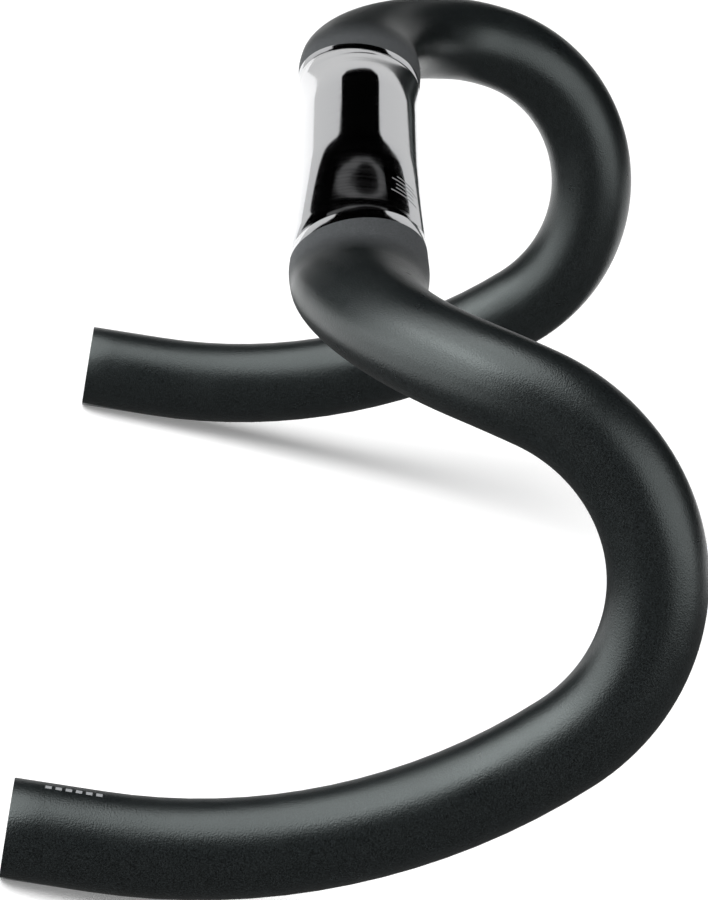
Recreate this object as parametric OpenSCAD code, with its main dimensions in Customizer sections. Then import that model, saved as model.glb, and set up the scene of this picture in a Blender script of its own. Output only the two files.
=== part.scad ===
// Compact road drop handlebar: one butted aluminium tube, bent in two mirrored halves from a round
// clamp barrel. The tube is drawn stretch by stretch, from the barrel out to each open end, and the
// stretches meet face to face.
// Origin: centre of the clamp barrel. +X to the rider's right, +Y forward, +Z up.

/* [Clamp barrel] */
// Diameter of the round barrel that the stem clamps
barrel_d = 31.8; // [25.4:0.2:35]
// Length of the round barrel
barrel_l = 64; // [44:2:80]
// Wall of the barrel
barrel_wall = 2.4; // [1.6:0.1:3]
// Distance from the centre to the edge of the polished band
band_half_l = 102; // [90:1:118]

/* [Tops] */
// Straight length from the centre to the first bend
top_l = 130; // [126:1:150]
// Fore and aft width of the flattened top
top_w = 34.5; // [30:0.5:38]
// Height of the flattened top
top_h = 21; // [18:0.5:26]
// How far the flattened section sits below the tube's centreline
top_drop = 0.5; // [0:0.5:2]
// Upward tilt of the front edge of the flattened top
top_tilt = 11; // [0:1:15]
// Wall of the tops
top_wall = 1.9; // [1.4:0.1:2.4]

/* [Drop tube] */
// Outer diameter of the round tube that carries the levers and the grips
tube_d = 23.8; // [22.2:0.1:25.4]
// Wall of the round tube
tube_wall = 1.6; // [1.2:0.1:2.4]

/* [Bends, from the top to the open end] */
// Corner: turns the top forward. Centreline radius
corner_r = 71; // [60:1:100]
// Corner: angle
corner_angle = 52.5; // [45:0.5:60]
// Hood: starts to fall where the lever sits. Centreline radius
hood_r = 38; // [28:1:45]
// Hood: angle
hood_angle = 24.5; // [15:0.5:30]
// Hood: roll of the bending plane before the bend
hood_roll = -22; // [-40:1:-10]
// Upper hook: turns down round the hand. Centreline radius
upper_r = 45; // [38:1:60]
// Upper hook: angle
upper_angle = 57; // [45:1:65]
// Upper hook: roll of the bending plane before the bend
upper_roll = -64; // [-75:1:-50]
// Lower hook: turns back under the hand. Centreline radius
lower_r = 46; // [38:1:60]
// Lower hook: angle
lower_angle = 69; // [55:1:75]
// Lower hook: roll of the bending plane before the bend
lower_roll = -19.5; // [-30:0.5:-10]
// Drop: long shallow bend along the grip. Centreline radius
drop_r = 155; // [120:5:200]
// Drop: angle
drop_angle = 42.5; // [30:0.5:50]
// Drop: roll of the bending plane before the bend
drop_roll = 3.5; // [-5:0.5:10]
// Straight end of the tube, where the plug goes in
end_l = 21; // [16:1:40]

/* [Hidden] */
$fn = 64;

barrel_r = barrel_d / 2;
tube_r = tube_d / 2;
half_barrel_l = barrel_l / 2;
polished = "gainsboro";
black = [0.08, 0.08, 0.09];

// Where the section changes along the tube, measured from the centre
widen_from = 40;
widen_to = 125;
flat_at = 106;
round_from = 112;
section_sides = 32;
taper_steps = 7;
top_steps = 12;

// A frame is [point, heading, side the tube bends towards]
centre = [[0, 0, 0], [1, 0, 0], [0, 1, 0]];

function along(f, l) = [f[0] + l * f[1], f[1], f[2]];
function rolled(f, roll) = [f[0], f[1], cos(roll) * f[2] + sin(roll) * cross(f[1], f[2])];
function bent(f, r, angle) = [
    f[0] + r * (sin(angle) * f[1] + (1 - cos(angle)) * f[2]),
    cos(angle) * f[1] + sin(angle) * f[2],
    cos(angle) * f[2] - sin(angle) * f[1]];

corner = along(centre, top_l);
hood = rolled(bent(corner, corner_r, corner_angle), hood_roll);
upper = rolled(bent(hood, hood_r, hood_angle), upper_roll);
lower = rolled(bent(upper, upper_r, upper_angle), lower_roll);
drop = rolled(bent(lower, lower_r, lower_angle), drop_roll);
end = bent(drop, drop_r, drop_angle);
corner_l = corner_r * corner_angle * PI / 180;
round_at = top_l + corner_l;

// 0 before "from", 1 after "to" and a smooth rise between
function ease(s, from, to) =
    let (t = min(max((s - from) / (to - from), 0), 1)) t * t * (3 - 2 * t);
function mix(a, b, t) = a + (b - a) * t;

// The outer section at distance s along the tube: half width, half height, drop and tilt
function half_w(s) = mix(mix(barrel_r, top_w / 2, ease(s, widen_from, widen_to)), tube_r,
    ease(s, round_from, round_at));
function half_h(s) = mix(mix(barrel_r, top_h / 2, ease(s, half_barrel_l, flat_at)), tube_r,
    ease(s, round_from, round_at));
function flatness(s) = ease(s, half_barrel_l, flat_at) * (1 - ease(s, round_from, round_at));
function wall(s) = mix(mix(barrel_wall, top_wall, ease(s, half_barrel_l, flat_at)), tube_wall,
    ease(s, round_from, round_at));
function frame_at(s) = s < top_l ? along(centre, s)
    : bent(corner, corner_r, (s - top_l) / corner_r * 180 / PI);

// One ring of points round the tube at distance s, with the section drawn in by inset
function ring(s, inset) =
    let (f = frame_at(s), up = cross(f[1], f[2]), tilt = top_tilt * flatness(s),
        wide = cos(tilt) * f[2] + sin(tilt) * up, high = cos(tilt) * up - sin(tilt) * f[2],
        w = half_w(s) - inset, h = half_h(s) - inset)
    [for (i = [0 : section_sides - 1])
        let (a = 360 * i / section_sides)
        f[0] - top_drop * flatness(s) * up + w * cos(a) * wide + h * sin(a) * high];

// Hollow tube swept from distance "from" to distance "to", as one closed shell
module swept_tube(from, to, steps) {
    n = section_sides;
    stations = [for (k = [0 : steps]) mix(from, to, k / steps)];
    outer = [for (s = stations) each ring(s, 0)];
    inner = [for (s = stations) each ring(s, wall(s))];
    m = len(outer);
    last = steps * n;
    skin = [for (k = [0 : steps - 1], i = [0 : n - 1])
        let (j = (i + 1) % n) [k * n + i, (k + 1) * n + i, (k + 1) * n + j, k * n + j]];
    bore = [for (q = skin) [m + q[3], m + q[2], m + q[1], m + q[0]]];
    near_end = [for (i = [0 : n - 1]) let (j = (i + 1) % n) [i, j, m + j, m + i]];
    far_end = [for (i = [0 : n - 1])
        let (j = (i + 1) % n) [last + j, last + i, m + last + i, m + last + j]];
    polyhedron(concat(outer, inner), concat(skin, bore, near_end, far_end), convexity = 4);
}

// Puts what is drawn with its own X, Y and Z along the three given directions, at the point
module place(point, x, y, z)
    multmatrix([
        [x[0], y[0], z[0], point[0]],
        [x[1], y[1], z[1], point[1]],
        [x[2], y[2], z[2], point[2]]])
    children();

module tube_section()
    difference() {
        circle(d = tube_d);
        circle(d = tube_d - 2 * tube_wall);
    }

// Round tube bent from frame f
module bent_tube(f, r, angle)
    place(f[0] + r * f[2], -f[2], f[1], cross(f[1], f[2]))
    rotate_extrude(angle = angle)
    translate([r, 0])
    tube_section();

// Round tube going straight on from frame f
module straight_tube(f, l)
    place(f[0], f[2], cross(f[1], f[2]), f[1])
    linear_extrude(l)
    tube_section();

module mirrored(side) mirror([side == "left" ? 1 : 0, 0, 0]) children();

module clamp_barrel()
    color(polished)
    rotate([0, 90, 0])
    difference() {
        cylinder(d = barrel_d, h = barrel_l, center = true);
        cylinder(d = barrel_d - 2 * barrel_wall, h = barrel_l + 2, center = true);
    }

module barrel_taper(side)
    color(polished) mirrored(side) swept_tube(half_barrel_l, band_half_l, taper_steps);

module top(side)
    color(black) mirrored(side) swept_tube(band_half_l, round_at, top_steps);

module hood(side)
    color(black) mirrored(side) bent_tube(hood, hood_r, hood_angle);

module upper_hook(side)
    color(black) mirrored(side) bent_tube(upper, upper_r, upper_angle);

module lower_hook(side)
    color(black) mirrored(side) bent_tube(lower, lower_r, lower_angle);

module drop(side)
    color(black) mirrored(side) bent_tube(drop, drop_r, drop_angle);

module bar_end(side)
    color(black) mirrored(side) straight_tube(end, end_l);

clamp_barrel();
barrel_taper("left");  // left_barrel_taper
top("left");  // left_top
hood("left");  // left_hood
upper_hook("left");  // left_upper_hook
lower_hook("left");  // left_lower_hook
drop("left");  // left_drop
bar_end("left");  // left_bar_end
barrel_taper("right");  // right_barrel_taper
top("right");  // right_top
hood("right");  // right_hood
upper_hook("right");  // right_upper_hook
lower_hook("right");  // right_lower_hook
drop("right");  // right_drop
bar_end("right");  // right_bar_end
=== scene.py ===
from math import cos, radians, sin

import bmesh
import bpy
from mathutils import Matrix, Vector


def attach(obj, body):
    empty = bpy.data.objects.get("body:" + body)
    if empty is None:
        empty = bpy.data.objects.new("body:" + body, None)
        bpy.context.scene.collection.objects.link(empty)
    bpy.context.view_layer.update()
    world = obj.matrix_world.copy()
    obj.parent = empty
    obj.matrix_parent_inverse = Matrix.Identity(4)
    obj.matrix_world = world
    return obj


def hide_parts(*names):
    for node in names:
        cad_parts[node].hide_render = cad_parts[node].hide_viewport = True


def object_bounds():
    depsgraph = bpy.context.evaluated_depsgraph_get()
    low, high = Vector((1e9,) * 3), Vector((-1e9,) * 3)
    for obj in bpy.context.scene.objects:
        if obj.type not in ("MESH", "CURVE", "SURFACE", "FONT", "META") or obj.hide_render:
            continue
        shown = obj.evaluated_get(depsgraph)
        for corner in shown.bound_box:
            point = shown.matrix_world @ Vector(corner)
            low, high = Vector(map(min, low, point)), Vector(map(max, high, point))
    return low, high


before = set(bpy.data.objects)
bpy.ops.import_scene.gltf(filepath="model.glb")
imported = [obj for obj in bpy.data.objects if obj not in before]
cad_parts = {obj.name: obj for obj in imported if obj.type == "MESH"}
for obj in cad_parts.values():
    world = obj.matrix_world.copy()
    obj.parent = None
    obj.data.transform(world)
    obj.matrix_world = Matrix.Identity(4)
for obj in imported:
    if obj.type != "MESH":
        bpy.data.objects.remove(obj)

cad_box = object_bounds()

# ---- Bent tube: barrel, tapers, tops, hooks and drops ---------------------------------------------
# The real bar is one butted aluminium tube. It is drawn down from a round barrel, pressed flat at
# the tops and bent five times on each side. One half is modelled from the centre out, then mirrored.
MM = 0.001
NEAR = 0.01 * MM
SAME_POINT = 0.001 * MM
SIDES = 128
BARREL_R = 15.9 * MM
HALF_BARREL_L = 32 * MM
TUBE_R = 11.89 * MM
TOP_L = 130 * MM
TOP_HALF_W = 17.25 * MM
TOP_HALF_H = 10.5 * MM
TOP_DROP = 0.5 * MM
TOP_TILT = radians(11)
# where the section changes along the tube, measured from the centre
WIDEN_FROM = 40 * MM
WIDEN_TO = 125 * MM
FLAT_AT = 106 * MM
ROUND_FROM = 112 * MM
# the corner, then radius in mm, angle and roll of the bending plane in degrees for the hood, the two
# hook bends and the drop
CORNER_R = 71 * MM
CORNER_ANGLE = radians(52.5)
LOWER_BENDS = [(38, 24.5, -22), (45, 57, -64), (46, 69, -19.5), (155, 42.5, 3.5)]
BEND_STEP = radians(2.6)
END_L = 21 * MM
END_STEPS = 3


def only(obj):
    bpy.ops.object.select_all(action="DESELECT")
    bpy.context.view_layer.objects.active = obj
    obj.select_set(True)


def apply_modifier(obj, kind, **settings):
    modifier = obj.modifiers.new(kind.title(), kind)
    for name, value in settings.items():
        setattr(modifier, name, value)
    only(obj)
    bpy.ops.object.modifier_apply(modifier=modifier.name)


def select_ring(obj, middle, heading):
    # the one ring of the tube that lies across the heading at this middle
    bpy.ops.mesh.select_mode(type="VERT")
    bpy.ops.mesh.select_all(action="DESELECT")
    shell = bmesh.from_edit_mesh(obj.data)
    for v in shell.verts:
        out = v.co - middle
        v.select = abs(out.dot(heading)) < NEAR and out.length < 2 * BARREL_R
    shell.select_flush_mode()
    bmesh.update_edit_mesh(obj.data)


bpy.ops.object.select_all(action="DESELECT")
bpy.ops.mesh.primitive_circle_add(vertices=SIDES, radius=BARREL_R, rotation=(0, radians(90), 0))
tube = bpy.context.object
bpy.ops.object.transform_apply(location=True, rotation=True, scale=True)
bpy.ops.object.mode_set(mode="EDIT")
bpy.ops.mesh.select_all(action="SELECT")

# straight stations from the centre to the corner, with a clear stretch left for the slanted edges
STATION = 4 * MM
CLEAR_FROM = 90 * MM
CLEAR_TO = 110 * MM
stations = [STATION * k for k in range(1, int(TOP_L / STATION) + 1)] + [TOP_L]
stations = [s for s in stations if not CLEAR_FROM < s < CLEAR_TO]
reached = 0
for s in stations:
    bpy.ops.mesh.extrude_region_move(TRANSFORM_OT_translate={"value": (s - reached, 0, 0)})
    reached = s


def spin(centre, axis, angle):
    # the spin operator turns against the right-hand rule
    steps = round(angle / BEND_STEP)
    bpy.ops.mesh.spin(steps=steps, angle=-angle, center=centre, axis=axis)
    return steps


corner_centre = Vector((TOP_L, CORNER_R, 0))
corner_steps = spin(corner_centre, (0, 0, 1), CORNER_ANGLE)
round_at = TOP_L + CORNER_R * CORNER_ANGLE


def ease(s, start, stop):
    t = min(max((s - start) / (stop - start), 0), 1)
    return t * t * (3 - 2 * t)


def mix(a, b, t):
    return a + (b - a) * t


# each ring is pressed from round to its flattened section, and back to round by the corner's end
rings = [(s, Vector((s, 0, 0)), 0) for s in stations]
for k in range(1, corner_steps + 1):
    turn = CORNER_ANGLE * k / corner_steps
    middle = corner_centre + CORNER_R * Vector((sin(turn), -cos(turn), 0))
    rings.append((TOP_L + CORNER_R * turn, middle, turn))
for s, middle, turn in rings:
    heading = Vector((cos(turn), sin(turn), 0))
    flattened = ease(s, HALF_BARREL_L, FLAT_AT)
    rounded = ease(s, ROUND_FROM, round_at)
    wide = mix(mix(BARREL_R, TOP_HALF_W, ease(s, WIDEN_FROM, WIDEN_TO)), TUBE_R, rounded)
    high = mix(mix(BARREL_R, TOP_HALF_H, flattened), TUBE_R, rounded)
    select_ring(tube, middle, heading)
    axes = Matrix.Rotation(turn, 3, "Z") @ Matrix.Rotation(TOP_TILT, 3, "X")
    bpy.ops.transform.resize(value=(1, wide / BARREL_R, high / BARREL_R), orient_type="GLOBAL",
                             orient_matrix=axes, orient_matrix_type="GLOBAL",
                             center_override=middle)
    bpy.ops.transform.translate(value=(0, 0, -TOP_DROP * flattened * (1 - rounded)))

# the last ring is still selected, and is spun on through the other bends to the straight end
point, heading, side = middle, heading, Vector((-sin(turn), cos(turn), 0))
for radius, angle, roll in LOWER_BENDS:
    side = Matrix.Rotation(radians(roll), 3, heading) @ side
    centre = point + radius * MM * side
    axis = heading.cross(side)
    spin(centre, axis, radians(angle))
    bend = Matrix.Rotation(radians(angle), 3, axis)
    point = centre + bend @ (point - centre)
    heading = bend @ heading
    side = bend @ side
for k in range(END_STEPS):
    bpy.ops.mesh.extrude_region_move(TRANSFORM_OT_translate={"value": heading * END_L / END_STEPS})
mouth = point + heading * END_L

# slanted rings are cut round the tube, for a fine turned line and for the edge of the polished band
BAND_HALF_L = 101.8 * MM
BAND_SLANT = 6 / 17
LINE_AT = 94 * MM
LINE_WIDTH = 0.5 * MM
LINE_DEPTH = 0.06 * MM
slant = Vector((1, BAND_SLANT, 0)).normalized()
for s in (LINE_AT - LINE_WIDTH / 2, LINE_AT, LINE_AT + LINE_WIDTH / 2, BAND_HALF_L):
    bpy.ops.mesh.select_all(action="SELECT")
    bpy.ops.mesh.bisect(plane_co=(s, 0, 0), plane_no=slant)
line_middle = Vector((LINE_AT, 0, 0))
select_ring(tube, line_middle, slant)
squeeze = 1 - LINE_DEPTH / BARREL_R
bpy.ops.transform.resize(value=(1, squeeze, squeeze), center_override=line_middle)

bpy.ops.object.mode_set(mode="OBJECT")
apply_modifier(tube, "MIRROR", merge_threshold=SAME_POINT)
bpy.ops.object.mode_set(mode="EDIT")
bpy.ops.mesh.select_all(action="SELECT")
bpy.ops.mesh.remove_doubles(threshold=SAME_POINT)
bpy.ops.mesh.normals_make_consistent(inside=False)

# ---- Polished band --------------------------------------------------------------------------------
# The middle of the tube, where the stem clamps, is bare aluminium. It was masked, then buffed to a
# mirror. It gives clear reflections, softened a little by faint lines that the wheel left round it.
TUBE_WALL = 1.6 * MM
SMOOTH_UNDER = radians(30)


def cut_off(sign):
    # parts off the faces past the slanted edge on one side, as a piece of their own
    bpy.ops.mesh.select_mode(type="FACE")
    bpy.ops.mesh.select_all(action="DESELECT")
    shell = bmesh.from_edit_mesh(tube.data)
    for f in shell.faces:
        middle = f.calc_center_median()
        f.select = sign * middle.x + BAND_SLANT * middle.y > BAND_HALF_L
    bmesh.update_edit_mesh(tube.data)
    bpy.ops.mesh.separate(type="SELECTED")
    half = [o for o in bpy.context.selected_objects if o != tube][0]
    half.select_set(False)
    return half


def give_wall(piece, name):
    piece.name = name
    piece.data.name = name
    apply_modifier(piece, "SOLIDIFY", thickness=TUBE_WALL, offset=-1, use_even_offset=True)


def smooth(piece):
    only(piece)
    bpy.ops.object.shade_smooth_by_angle(angle=SMOOTH_UNDER)


right = cut_off(1)
left = cut_off(-1)
bpy.ops.object.mode_set(mode="OBJECT")
band = tube
give_wall(band, "polished_band")
smooth(band)
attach(band, "root")
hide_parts("clamp_barrel", "left_barrel_taper", "right_barrel_taper")


def linear(hex_colour):
    def channel(c):
        c = c / 255
        return c / 12.92 if c <= 0.04045 else ((c + 0.055) / 1.055) ** 2.4
    return tuple(channel(int(hex_colour[i:i + 2], 16)) for i in (1, 3, 5)) + (1,)


def new_material(name, hex_colour, roughness, metallic=0.0):
    material = bpy.data.materials.new(name)
    material.use_nodes = True
    shader = material.node_tree.nodes["Principled BSDF"]
    shader.inputs["Base Color"].default_value = linear(hex_colour)
    shader.inputs["Roughness"].default_value = roughness
    shader.inputs["Metallic"].default_value = metallic
    return material, shader


def add_node(material, kind, settings, links):
    # settings: an input (name or number) or a property, and its value; links: an input and its source
    node = material.node_tree.nodes.new(kind)
    for name, value in settings.items():
        if isinstance(name, int) or name in node.inputs:
            node.inputs[name].default_value = value
        else:
            setattr(node, name, value)
    for name, source in links.items():
        material.node_tree.links.new(source, node.inputs[name])
    return node


def feed(shader, name, source):
    shader.id_data.links.new(source, shader.inputs[name])


# a wheel's lines are finer than this, and are drawn at 1.2 mm so that they show; the stretch is how
# much slower the pattern changes round the tube than along it
BUFFING_LINE = 1.2 * MM
BUFFING_STRETCH = 0.04
BUFFING_DEPTH = 0.006 * MM
polished, shader = new_material("mirror_polished_aluminium", "#d2d3d6", 0.05, metallic=1.0)
where = add_node(polished, "ShaderNodeTexCoord", {}, {}).outputs["Object"]
drawn_out = add_node(polished, "ShaderNodeMapping", {"Scale": (1, BUFFING_STRETCH, BUFFING_STRETCH)},
                     {"Vector": where})
lines = add_node(polished, "ShaderNodeTexNoise", {"Scale": 1 / BUFFING_LINE, "Detail": 3.0},
                 {"Vector": drawn_out.outputs["Vector"]})
haze = add_node(polished, "ShaderNodeMapRange",
                {"From Min": 0.35, "From Max": 0.7, "To Min": 0.05, "To Max": 0.1},
                {"Value": lines.outputs["Fac"]})
feed(shader, "Roughness", haze.outputs["Result"])
ripple = add_node(polished, "ShaderNodeBump", {"Strength": 0.3, "Distance": BUFFING_DEPTH},
                  {"Height": lines.outputs["Fac"]})
feed(shader, "Normal", ripple.outputs["Normal"])
band.data.materials.append(polished)

# ---- Black halves ---------------------------------------------------------------------------------
# From each edge of the band to the open end, the tube is shot-blasted to a fine grain and black
# anodised, a dyed oxide layer. It gives a deep, slightly cool black with broad highlights and grain.
STRETCHES = ["top", "hood", "upper_hook", "lower_hook", "drop", "bar_end"]
CHAMFER = 0.25 * MM
SHARP_OVER = radians(60)


def chamfer_mouth(piece, sign):
    # the saw cut at the open end is broken inside and out
    end_point = Vector((sign * mouth.x, mouth.y, mouth.z))
    end_heading = Vector((sign * heading.x, heading.y, heading.z))
    only(piece)
    bpy.ops.object.mode_set(mode="EDIT")
    bpy.ops.mesh.select_mode(type="EDGE")
    bpy.ops.mesh.select_all(action="DESELECT")
    shell = bmesh.from_edit_mesh(piece.data)
    for e in shell.edges:
        at_mouth = all(abs((v.co - end_point).dot(end_heading)) < NEAR for v in e.verts)
        e.select = at_mouth and e.calc_face_angle(0) > SHARP_OVER
    bmesh.update_edit_mesh(piece.data)
    bpy.ops.mesh.bevel(offset=CHAMFER, segments=2)
    bpy.ops.object.mode_set(mode="OBJECT")


def blend(material, factor, a, b):
    # mixes two colours, each a value or a node's output
    mixer = add_node(material, "ShaderNodeMix", {"data_type": "RGBA"}, {})
    ends = [socket for socket in mixer.inputs if socket.type == "RGBA"]
    for socket, end in zip(ends, (a, b)):
        if isinstance(end, tuple):
            socket.default_value = end
        else:
            material.node_tree.links.new(end, socket)
    material.node_tree.links.new(factor, mixer.inputs[0])
    return [socket for socket in mixer.outputs if socket.type == "RGBA"][0]


# the blasted grain is about 0.15 mm across, drawn at 0.4 mm so that it shows
GRAIN = 0.4 * MM
GRAIN_DEPTH = 0.075 * MM
# faint cloudiness that the dye leaves
CLOUD = 14 * MM
# the tops are left duller and rougher for a short way beside the band, where the black is also painted
# a lighter grey as a painted sheen
ROUGH_SHEEN_FROM = 114 * MM
ROUGH_SHEEN_TO = 134 * MM
DULL_EXTRA_ROUGHNESS = 0.37
anodised, shader = new_material("black_anodised_aluminium", "#101313", 0.4)
shader.inputs["IOR"].default_value = 1.62
shader.inputs["Specular Tint"].default_value = linear("#f0fbfa")
where = add_node(anodised, "ShaderNodeTexCoord", {}, {}).outputs["Object"]
grain = add_node(anodised, "ShaderNodeTexNoise", {"Scale": 1 / GRAIN, "Detail": 2.0}, {"Vector": where})
cloud = add_node(anodised, "ShaderNodeTexNoise", {"Scale": 1 / CLOUD, "Detail": 4.0}, {"Vector": where})
across = add_node(anodised, "ShaderNodeSeparateXYZ", {}, {"Vector": where})
out_from_middle = add_node(anodised, "ShaderNodeMath", {"operation": "ABSOLUTE"},
                           {"Value": across.outputs["X"]})
rough_and_sheen = add_node(anodised, "ShaderNodeMapRange",
                {"From Min": ROUGH_SHEEN_FROM, "From Max": ROUGH_SHEEN_TO, "To Min": 1.0, "To Max": 0.0},
                {"Value": out_from_middle.outputs["Value"]}).outputs["Result"]
speckle = add_node(anodised, "ShaderNodeMapRange",
                   {"From Min": 0.3, "From Max": 0.7, "To Min": 0.0, "To Max": 1.0},
                   {"Value": grain.outputs["Fac"]}).outputs["Result"]
satin_dye = blend(anodised, speckle, linear("#010202"), linear("#1d2122"))
# painted sheen: beside the band the black is painted a lighter grey, standing in for the grazing
# reflection of the light
painted_sheen_colour = blend(anodised, speckle, linear("#151618"), linear("#4a4b4e"))
feed(shader, "Base Color", blend(anodised, rough_and_sheen, satin_dye, painted_sheen_colour))
satin = add_node(anodised, "ShaderNodeMapRange",
                 {"From Min": 0.3, "From Max": 0.7, "To Min": 0.27, "To Max": 0.35},
                 {"Value": cloud.outputs["Fac"]}).outputs["Result"]
rough = add_node(anodised, "ShaderNodeMath", {"operation": "MULTIPLY_ADD", 1: DULL_EXTRA_ROUGHNESS},
                 {0: rough_and_sheen, 2: satin})
feed(shader, "Roughness", rough.outputs["Value"])
tooth = add_node(anodised, "ShaderNodeBump", {"Strength": 1.0, "Distance": GRAIN_DEPTH},
                 {"Height": grain.outputs["Fac"]})
feed(shader, "Normal", tooth.outputs["Normal"])

for half, name, sign in ((right, "right", 1), (left, "left", -1)):
    give_wall(half, name + "_black_half")
    chamfer_mouth(half, sign)
    smooth(half)
    half.data.materials.append(anodised)
    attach(half, "root")
    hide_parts(*[name + "_" + stretch for stretch in STRETCHES])

# ---- Printed marks --------------------------------------------------------------------------------
# Thin pad-printed ink: graduation lines on the front of the band, to centre a stem by, and a row of
# plain batch dashes on top of one open end. Ink gives the eye flat grey shapes with a soft sheen.
INK = 0.02 * MM
# the mottling where the ink has worn
WEAR = 0.5 * MM
ink, shader = new_material("pad_printed_grey_ink", "#8e9092", 0.5)
where = add_node(ink, "ShaderNodeTexCoord", {}, {}).outputs["Object"]
wear = add_node(ink, "ShaderNodeTexNoise", {"Scale": 1 / WEAR, "Detail": 3.0}, {"Vector": where})
feed(shader, "Base Color", blend(ink, wear.outputs["Fac"], linear("#77797b"), linear("#a5a7a9")))


def printed(name, under, facing, run, row):
    # row: the middle of each mark, its size along run and its size across it, wrapped on to the tube
    facing = Vector(facing).normalized()
    across = facing.cross(Vector(run)).normalized()
    turn = Matrix((across.cross(facing), across, facing)).transposed()
    marks = []
    for middle, long, short in row:
        bpy.ops.object.select_all(action="DESELECT")
        bpy.ops.mesh.primitive_plane_add(size=1, location=middle, rotation=turn.to_euler())
        mark = bpy.context.object
        mark.scale = (long, short, 1)
        bpy.ops.object.transform_apply(location=True, rotation=True, scale=True)
        bpy.ops.object.mode_set(mode="EDIT")
        bpy.ops.mesh.select_all(action="SELECT")
        bpy.ops.mesh.subdivide(number_cuts=15)
        bpy.ops.object.mode_set(mode="OBJECT")
        apply_modifier(mark, "SHRINKWRAP", target=under, offset=2 * INK)
        apply_modifier(mark, "SOLIDIFY", thickness=INK, offset=-1)
        marks.append(mark)
    sheet = marks[0]
    only(sheet)
    for mark in marks:
        mark.select_set(True)
    bpy.ops.object.join()
    sheet.name = name
    sheet.data.name = name
    sheet.data.materials.append(ink)
    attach(sheet, "root")


TICKS = [6, 9, 6, 6, 9]
TICK_GAP = 3 * MM
TICK_WIDTH = 0.6 * MM
TICKS_FROM = 62 * MM
printed("graduation_lines", band, (0, 0.6, 0.8), (0, 0.8, -0.6),
        [((TICKS_FROM + k * TICK_GAP, 9.5 * MM, 12 * MM), long * MM, TICK_WIDTH)
         for k, long in enumerate(TICKS)])
DASHES = 6
DASH_GAP = 2.4 * MM
DASHES_FROM = -49 * MM
printed("batch_dashes", right, (0.15, 0, 1), (0, 1, 0),
        [((207 * MM, DASHES_FROM + k * DASH_GAP, -113 * MM), 1.5 * MM, 1.6 * MM)
         for k in range(DASHES)])

# ---- Floor, light and camera ----------------------------------------------------------------------
# A plain pale floor, a wide soft light above and two soft side lights. Behind the bar is a white
# card with a dark board before it, and a dark cloth is on the floor. They show only in reflections.
lowest = cad_box[0][2]
paper, shader = new_material("pale_paper", "#f6f6f6", 0.9)
shader.inputs["Emission Color"].default_value = (1, 1, 1, 1)
shader.inputs["Emission Strength"].default_value = 0.2


def card(name, outline, material):
    # a flat sheet, drawn as one outline of (x, y, z) corners in metres
    mesh = bpy.data.meshes.new(name)
    mesh.from_pydata(outline, [], [list(range(len(outline)))])
    sheet = bpy.data.objects.new(name, mesh)
    bpy.context.collection.objects.link(sheet)
    sheet.data.materials.append(material)
    return sheet


def reflected_card(name, outline, level):
    # a card that gives an even glow at this level, and shows only in reflections
    material, shader = new_material(name, "#000000", 1.0)
    shader.inputs["Emission Color"].default_value = (1, 1, 1, 1)
    shader.inputs["Emission Strength"].default_value = level
    shader.inputs["Specular IOR Level"].default_value = 0
    sheet = card(name, outline, material)
    sheet.visible_camera = False
    sheet.visible_diffuse = False
    sheet.visible_shadow = False


PAPER = 15
card("floor", [(-PAPER, -PAPER, lowest), (PAPER, -PAPER, lowest), (PAPER, PAPER, lowest),
               (-PAPER, PAPER, lowest)], paper)
WHITE_X = -1.5
WHITE = [(-0.8, lowest + 0.01), (0.8, lowest + 0.01), (0.8, 0.45), (-0.8, 0.42)]
reflected_card("white_card", [(WHITE_X, y, z) for y, z in WHITE], 0.64)
# a tall dark board with a short neck under it
DARK_X = -0.6
DARK = [(-0.3, 1.6), (-0.3, 0.02), (-0.19, 0.06), (-0.14, 0.105), (-0.105, 0.1), (-0.083, 0.065),
        (-0.05, 0.045), (0.02, 0.045), (0.045, 0.08), (0.06, 0.14), (0.09, 0.17), (0.14, 0.17),
        (0.19, 0.13), (0.205, 0.13), (0.205, 1.6)]
reflected_card("dark_card", [(DARK_X, y, z) for y, z in DARK], 0.0)
# a dim bent strip across the board
DIM_X = -0.59
DIM = [(-0.215, 0.235), (-0.14, 0.285), (-0.05, 0.31), (0.05, 0.31), (0.1, 0.3), (0.11, 0.345),
       (0.04, 0.325), (-0.1, 0.325), (-0.23, 0.29)]
reflected_card("dim_strip", [(DIM_X, y, z) for y, z in DIM], 0.11)
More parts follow.
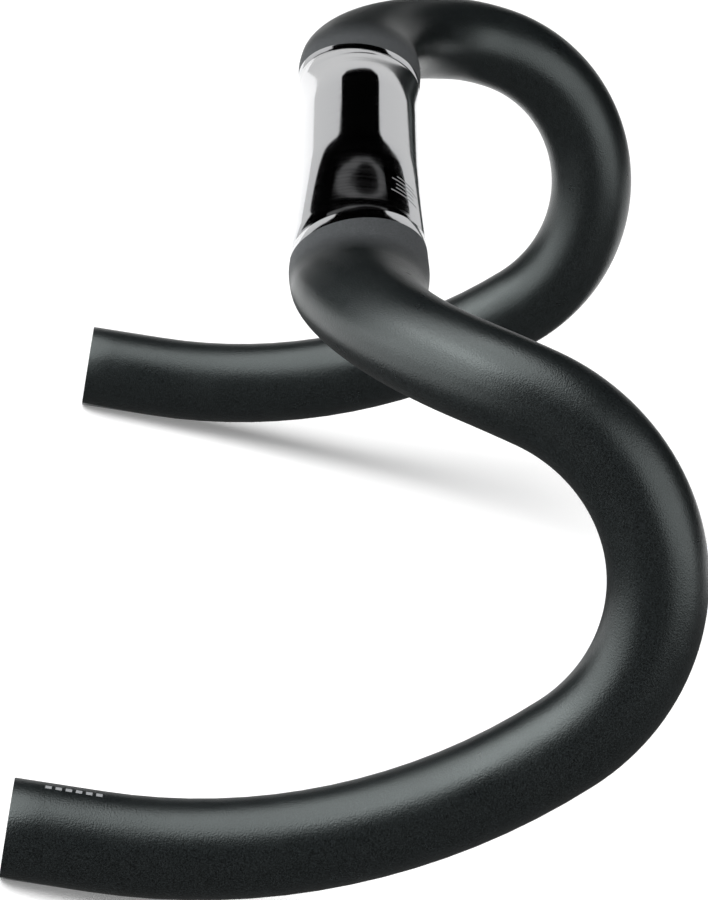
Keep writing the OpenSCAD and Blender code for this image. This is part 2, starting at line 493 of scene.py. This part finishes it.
# a dark cloth on the floor in front of the bar and under it
CLOTH_Z = lowest + 0.002
CLOTH = [(0.45, -6), (6, -6), (6, 6), (-0.3, 6), (-0.3, -0.15), (0.45, -0.15)]
reflected_card("dark_cloth", [(x, y, CLOTH_Z) for x, y in CLOTH], 0.1)

# the backdrop is pale to look at but gives almost no light, so that the cards shape the reflections
world = bpy.data.worlds.new("dim_studio")
bpy.context.scene.world = world
world.use_nodes = True
backdrop = world.node_tree.nodes["Background"]
backdrop.inputs["Color"].default_value = (1, 1, 1, 1)
seen = add_node(world, "ShaderNodeLightPath", {}, {}).outputs["Is Camera Ray"]
pale = add_node(world, "ShaderNodeMapRange", {"To Min": 0.01, "To Max": 0.9}, {"Value": seen})
feed(backdrop, "Strength", pale.outputs["Result"])


def soft_light(name, kind, place, power, **settings):
    # a light at this place that faces the middle of the bar
    bpy.ops.object.light_add(type=kind, location=place)
    light = bpy.context.object
    light.name = name
    light.data.energy = power
    for setting, value in settings.items():
        setattr(light.data, setting, value)
    light.visible_camera = False
    light.rotation_euler = (-Vector(place)).to_track_quat("-Z", "Y").to_euler()


soft_light("light_above", "SUN", (0.3, -1.0, 1.8), 2.9, angle=1.2)
soft_light("light_rear", "AREA", (0.5, -1.2, 0.3), 21, shape="RECTANGLE", size=1.6, size_y=1.6)
soft_light("light_front", "AREA", (0.75, 1.2, 0.4), 14, shape="RECTANGLE", size=1.6, size_y=1.6)

VIEWPOINT = Vector((1.4676, -0.0737, 0.3353))
LOOKS_AT = Vector((0, 0.0154, -0.0768))
LEAN = radians(12.95)
bpy.ops.object.camera_add()
camera = bpy.context.object
camera.data.sensor_width = 36
camera.data.lens = 229.3
camera.data.clip_start = 0.05
level = (LOOKS_AT - VIEWPOINT).to_track_quat("-Z", "Y").to_matrix()
lean = Matrix.Rotation(LEAN, 3, "Z")
camera.matrix_world = Matrix.Translation(VIEWPOINT) @ (level @ lean).to_4x4()
bpy.context.scene.camera = camera
bpy.context.scene.view_settings.view_transform = "Standard"
